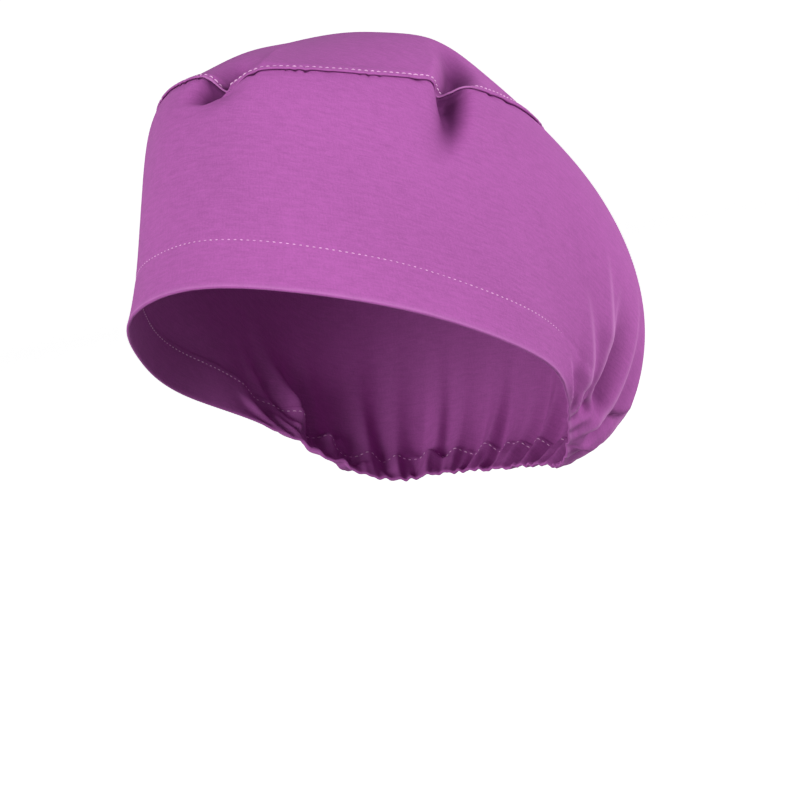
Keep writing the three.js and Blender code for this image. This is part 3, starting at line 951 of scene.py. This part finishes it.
class SCRUBCAP_OT_stitches(bpy.types.Operator):
    """Sew the rows of stitches: along the hem, outside and inside, and along the crown's edge"""
    bl_idname = "scrub_cap.stitches"
    bl_label = "Stitches"

    def execute(self, context):
        sizes, form, angles = laid_out(context)
        hem = form.hem_height(angles)
        thread = thread_material("pale thread", context.scene.scrub_cap_colours.thread)
        outwards = out_of(form.plain_wall, angles, hem)
        line = form.wall(angles, hem)
        fading = smoothstep((form.side(angles) - 86) / 12)  # the thread sinks in behind the ears
        sunk = (0.38 + 0.42 * fading) * MM
        outside = stitch_row("hem_stitches", line - outwards * sunk[:, None], outwards, sizes, thread)
        inner = line - outwards * (2 * sizes.cloth + HEM_GAP - GROOVE)
        inside = stitch_row("hem_stitches_inside", inner, -outwards, sizes, thread, 0.5)
        way = np.full(len(angles), CROWN_STITCH_LINE / CROWN_REACH)
        crown_out = out_of(form.plain_crown, angles, way)
        crown_line = form.crown(angles, way) + crown_out * (SEAM_PROUD - 0.34 * MM)
        crown = stitch_row("crown_stitches", crown_line, crown_out, sizes, thread, 0.0, 1.3)
        for piece in (outside, inside, crown):
            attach(piece, "root")
        return {"FINISHED"}


# Studio

CAMERA_YAW = math.radians(34)
CAMERA_PITCH = math.radians(8.5)
CAMERA_ROLL = math.radians(11.6)
CAMERA_DISTANCE = 1.5
IMAGE_PIXELS = 800
PIXELS_PER_METRE = 2514  # scale of the picture at the cap's origin
ORIGIN_PIXEL = (365.8, 384.9)  # where the cap's origin lies in the picture
SENSOR = 36
FLOOR = -0.3
ROOM_LIGHT = 0.24
PAPER_GLOW = 0.7
LIGHT_DISTANCE = 2.4
LIGHT_AIM = 0.05  # height that the lights face

# Soft lights: azimuth and elevation in degrees, size in metres and power in watts. Azimuth is
# measured as round the cap, from the front.
LIGHTS = table("name azimuth elevation size power colour", [
    ("key_light", -6, 12, 1.3, 31, (1, 1, 1)),
    ("left_light", -60, 14, 1, 9, (1, 1, 1)),
    ("side_light", 90, 16, 1.4, 35.5, (1, 1, 1)),
    ("top_light", 50, 82, 1.6, 6, (0.92, 0.84, 1)),
    ("back_light", 150, 4, 1.4, 13, (1, 1, 1)),
])


def camera_turn():
    """Rotation from the cap's frame to the camera's: x to the right, y away, z up"""
    yaw = Matrix.Rotation(-CAMERA_YAW, 3, "Z")
    pitch = Matrix.Rotation(CAMERA_PITCH, 3, "X")
    roll = Matrix.Rotation(-CAMERA_ROLL, 3, "Y")
    return roll @ pitch @ yaw


def add_camera(scene):
    data = bpy.data.cameras.new("photo_camera")
    data.sensor_width = SENSOR
    data.lens = CAMERA_DISTANCE * PIXELS_PER_METRE / IMAGE_PIXELS * SENSOR
    middle = IMAGE_PIXELS / 2
    data.shift_x = (middle - ORIGIN_PIXEL[0]) / IMAGE_PIXELS
    data.shift_y = (ORIGIN_PIXEL[1] - middle) / IMAGE_PIXELS
    data.clip_end = 50
    camera = bpy.data.objects.new("photo_camera", data)
    scene.collection.objects.link(camera)
    right, away, up = camera_turn()
    basis = Matrix((right, up, -away)).transposed()
    camera.matrix_world = Matrix.Translation(-away * CAMERA_DISTANCE) @ basis.to_4x4()
    scene.camera = camera


def add_light(scene, row):
    """One soft light that faces the cap"""
    data = bpy.data.lights.new(row["name"], "AREA")
    data.shape = "DISK"
    data.size = row["size"]
    data.energy = row["power"]
    data.color = row["colour"]
    light = bpy.data.objects.new(row["name"], data)
    scene.collection.objects.link(light)
    turn, rise = math.radians(row["azimuth"]), math.radians(row["elevation"])
    level = math.cos(rise)
    towards = Vector((math.sin(turn) * level, -math.cos(turn) * level, math.sin(rise)))
    place = towards * LIGHT_DISTANCE
    light.location = place + Vector((0, 0, LIGHT_AIM))
    light.rotation_euler = (-place).to_track_quat("-Z", "Y").to_euler()


class SCRUBCAP_OT_studio(bpy.types.Operator):
    """Set up the studio: a pale round floor that curves up to a backdrop, lights and the camera"""
    bl_idname = "scrub_cap.studio"
    bl_label = "Studio"

    radius = 4.0
    wall = 2.4
    cove = 1.2
    cove_steps = 10

    def execute(self, context):
        scene = context.scene
        add_camera(scene)
        bpy.ops.mesh.primitive_circle_add(
            vertices=96, radius=self.radius - self.cove, fill_type="NGON", location=(0, 0, FLOOR))
        stage = context.object
        stage.name = "studio_floor"
        bpy.ops.object.mode_set(mode="EDIT")
        bpy.ops.mesh.select_mode(type="EDGE")
        bpy.ops.mesh.select_all(action="SELECT")
        bpy.ops.mesh.region_to_loop()
        for i in range(self.cove_steps):
            before, now = (math.pi / 2 * k / self.cove_steps for k in (i, i + 1))
            radii = [self.radius - self.cove + self.cove * math.sin(t) for t in (before, now)]
            rise = self.cove * (math.cos(before) - math.cos(now))
            bpy.ops.mesh.extrude_edges_move(TRANSFORM_OT_translate={"value": (0, 0, rise)})
            grow = radii[1] / radii[0]
            bpy.ops.transform.resize(value=(grow, grow, 1), center_override=(0, 0, 0))
        bpy.ops.mesh.extrude_edges_move(TRANSFORM_OT_translate={"value": (0, 0, self.wall)})
        bpy.ops.mesh.select_all(action="SELECT")
        bpy.ops.mesh.normals_make_consistent(inside=False)
        bpy.ops.object.mode_set(mode="OBJECT")
        bpy.ops.object.shade_smooth()
        bpy.ops.object.transform_apply(location=True, rotation=True, scale=True)
        colour = scene.scrub_cap_colours.studio
        material, nodes, links, shader = new_material("studio paper", colour)
        coords = nodes.new("ShaderNodeTexCoord")
        grain = noise_node(nodes, links, coords.outputs["Object"], 40, 2.0)
        rough = math_node(nodes, links, "ADD", math_node(nodes, links, "MULTIPLY", grain, 0.05), 0.9)
        links.new(rough, shader.inputs["Roughness"])
        shader.inputs["Base Color"].default_value = (*colour, 1)
        shader.inputs["Specular IOR Level"].default_value = 0.0
        shader.inputs["Emission Color"].default_value = (1, 1, 1, 1)
        shader.inputs["Emission Strength"].default_value = PAPER_GLOW
        stage.data.materials.append(material)
        stage.visible_diffuse = False
        stage.visible_shadow = False

        world = bpy.data.worlds.new("soft room")
        world.use_nodes = True
        background = world.node_tree.nodes["Background"]
        background.inputs[0].default_value = (1, 1, 1, 1)
        background.inputs[1].default_value = ROOM_LIGHT
        scene.world = world
        for row in LIGHTS:
            add_light(scene, row)
        scene.view_settings.view_transform = "Standard"
        return {"FINISHED"}


class SCRUBCAP_PT_panel(bpy.types.Panel):
    """Buttons that make the cap piece by piece"""
    bl_idname = "SCRUBCAP_PT_panel"
    bl_label = "Scrub Cap"
    bl_space_type = "VIEW_3D"
    bl_region_type = "UI"
    bl_category = "Scrub Cap"

    def draw(self, context):
        layout = self.layout
        for group in (context.scene.scrub_cap_sizes, context.scene.scrub_cap_colours):
            box = layout.box()
            for name in group.__annotations__:
                box.prop(group, name)
        for operator in OPERATORS:
            layout.operator(operator.bl_idname)


OPERATORS = [
    SCRUBCAP_OT_side_wall,
    SCRUBCAP_OT_crown,
    SCRUBCAP_OT_hem_facing,
    SCRUBCAP_OT_stitches,
    SCRUBCAP_OT_studio,
]
CLASSES = [ScrubCapSizes, ScrubCapColours, *OPERATORS, SCRUBCAP_PT_panel]


def register():
    for item in CLASSES:
        bpy.utils.register_class(item)
    bpy.types.Scene.scrub_cap_sizes = bpy.props.PointerProperty(type=ScrubCapSizes)
    bpy.types.Scene.scrub_cap_colours = bpy.props.PointerProperty(type=ScrubCapColours)


def unregister():
    del bpy.types.Scene.scrub_cap_colours
    del bpy.types.Scene.scrub_cap_sizes
    for item in reversed(CLASSES):
        bpy.utils.unregister_class(item)


def main():
    register()
    bpy.ops.object.select_all(action="DESELECT")
    bpy.ops.scrub_cap.side_wall()
    bpy.ops.scrub_cap.crown()
    bpy.ops.scrub_cap.hem_facing()
    bpy.ops.scrub_cap.stitches()
    bpy.ops.scrub_cap.studio()


if __name__ == "__main__":
    main()
